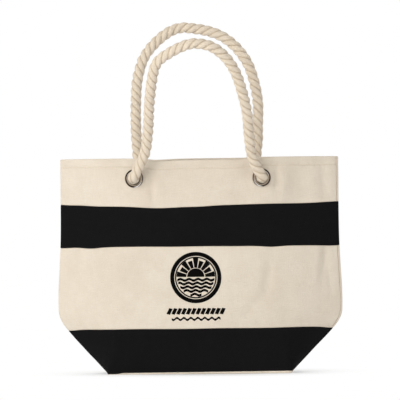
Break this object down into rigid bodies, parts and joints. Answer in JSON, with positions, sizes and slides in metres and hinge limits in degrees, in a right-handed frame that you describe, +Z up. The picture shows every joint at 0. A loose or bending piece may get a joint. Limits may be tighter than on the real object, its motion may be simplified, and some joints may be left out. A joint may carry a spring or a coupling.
{
  "type": "beach tote bag",
  "caption": "Upright canvas beach tote with two dark stripes, a boxed base, metal eyelets and twisted rope handles that swing down its sides.",
  "frame": {"origin": "middle of the base's underside, on the surface the bag stands on", "axes": "+Z up, -Y out of the front face, +X to the right of someone who faces the front"},
  "size_m": [0.467, 0.2823, 0.5761],
  "materials": {
    "natural_canvas": "undyed plain-weave cotton canvas, matte",
    "black_canvas": "black dyed plain-weave cotton canvas, matte",
    "binding_tape": "herringbone cotton tape, matte",
    "nickel": "polished nickel-plated brass",
    "cotton_rope": "laid cotton rope, soft and matte",
    "cotton_thread": "waxed cotton thread"
  },
  "bodies": {
    "bag": {"front_top_panel": "natural_canvas", "front_upper_stripe": "black_canvas", "front_middle_panel": "natural_canvas", "front_lower_stripe": "black_canvas", "back_top_panel": "natural_canvas", "back_upper_stripe": "black_canvas", "back_middle_panel": "natural_canvas", "back_lower_stripe": "black_canvas", "base_panel": "natural_canvas", "left_seam_binding": "binding_tape", "right_seam_binding": "binding_tape", "front_left_eyelet": "nickel", "front_left_washer": "nickel", "front_left_rope_end": "cotton_rope", "front_left_knot": "cotton_rope", "front_left_whipping": "cotton_thread", "front_right_eyelet": "nickel", "front_right_washer": "nickel", "front_right_rope_end": "cotton_rope", "front_right_knot": "cotton_rope", "front_right_whipping": "cotton_thread", "back_left_eyelet": "nickel", "back_left_washer": "nickel", "back_left_rope_end": "cotton_rope", "back_left_knot": "cotton_rope", "back_left_whipping": "cotton_thread", "back_right_eyelet": "nickel", "back_right_washer": "nickel", "back_right_rope_end": "cotton_rope", "back_right_knot": "cotton_rope", "back_right_whipping": "cotton_thread"},
    "front_handle": {"front_handle_rope": "cotton_rope"},
    "back_handle": {"back_handle_rope": "cotton_rope"}
  },
  "joints": [
    {"name": "front_handle_swing", "type": "hinge", "parent": "bag", "child": "front_handle", "pos_m": [0, -0.0568, 0.3205], "axis": [1, 0, 0], "range_deg": [-32, 146]},
    {"name": "back_handle_swing", "type": "hinge", "parent": "bag", "child": "back_handle", "pos_m": [0, 0.0568, 0.3205], "axis": [-1, 0, 0], "range_deg": [-20, 158]}
  ]
}
